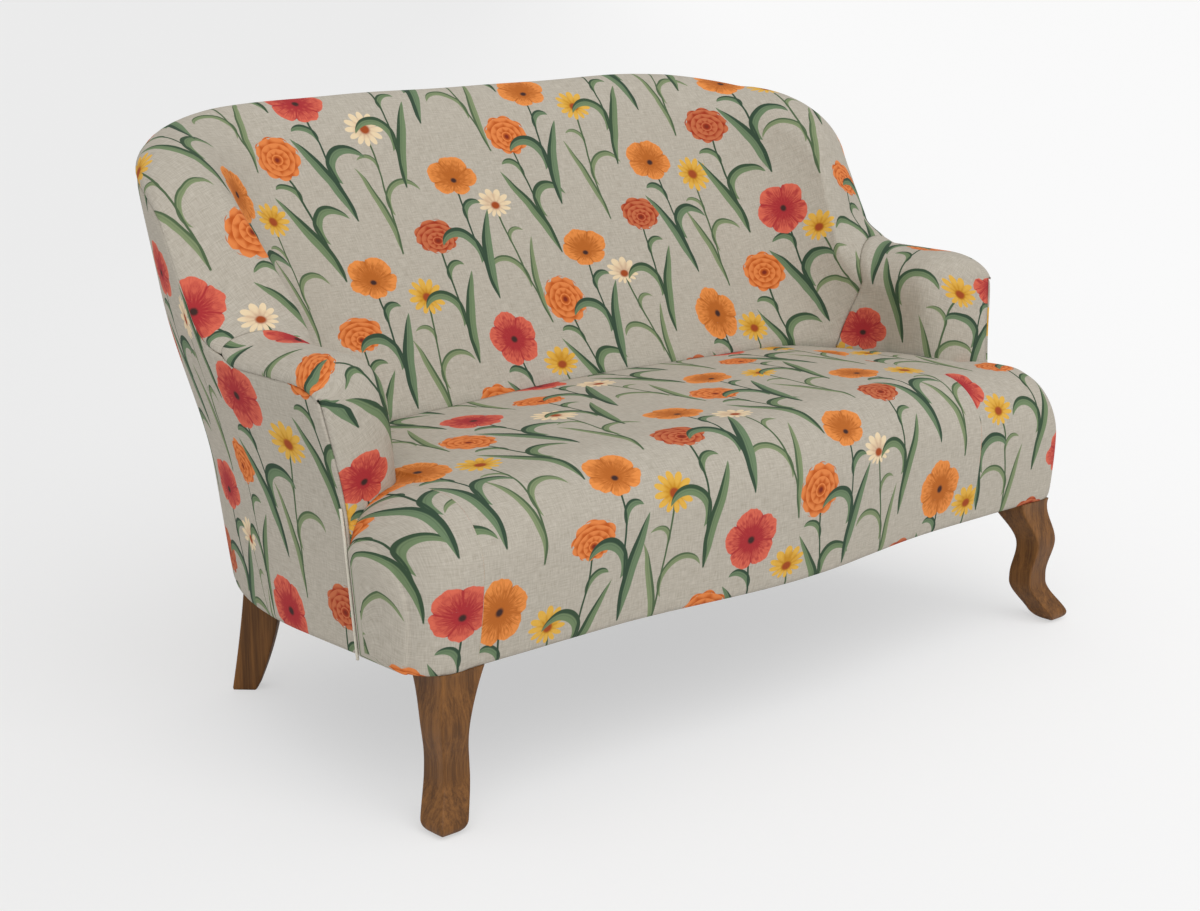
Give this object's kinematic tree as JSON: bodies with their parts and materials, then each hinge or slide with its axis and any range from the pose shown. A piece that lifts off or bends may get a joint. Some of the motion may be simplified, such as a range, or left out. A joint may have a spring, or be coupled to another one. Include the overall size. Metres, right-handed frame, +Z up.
{
  "type": "sofa",
  "caption": "Compact tub-back sofa with a tight T-shaped seat, low scooped arms, a winged upholstered back, cabriole front legs and sabre rear legs.",
  "frame": {"origin": "middle of the underside of the bounding box, on the floor", "axes": "+X along the sofa's width to its left-hand end as seen by someone sitting in it, +Y to the back, +Z up"},
  "size_m": [1.421, 0.8186, 0.887],
  "materials": {
    "print_cloth": "floral printed linen",
    "piping_cord": "plain linen",
    "dust_cloth": "matt woven",
    "jute": "coarse woven",
    "steel": "drawn wire",
    "oak": "brown satin lacquer",
    "beech": "sawn"
  },
  "bodies": {
    "root": {"seat_pad": "print_cloth", "inside_back_pad": "print_cloth", "inside_arm_pad_left": "print_cloth", "inside_arm_pad_right": "print_cloth", "outside_back_panel": "print_cloth", "outside_arm_panel_left": "print_cloth", "outside_arm_panel_right": "print_cloth", "front_piping_left": "piping_cord", "front_piping_right": "piping_cord", "dust_cover": "dust_cloth", "spring_cover": "jute", "seat_springs": "steel", "spring_clips": "steel", "front_seat_rail": "beech", "rear_seat_rail": "beech", "side_seat_rail_left": "beech", "side_seat_rail_right": "beech", "spring_rail": "beech", "seat_braces": "beech", "front_corner_blocks": "beech", "rear_corner_blocks": "beech", "arm_board_left": "beech", "arm_board_right": "beech", "arm_top_board_left": "beech", "arm_top_board_right": "beech", "arm_front_post_left": "beech", "arm_front_post_right": "beech", "wing_board_left": "beech", "wing_board_right": "beech", "wing_rail_left": "beech", "wing_rail_right": "beech", "back_top_rail": "beech", "back_stay_rail": "beech", "back_former_outer_left": "beech", "back_former_inner_left": "beech", "back_former_inner_right": "beech", "back_former_outer_right": "beech", "back_webbing": "jute", "front_leg_left": "oak", "front_leg_right": "oak", "rear_leg_left": "oak", "rear_leg_right": "oak", "leg_bolts": "steel"}
  },
  "joints": []
}
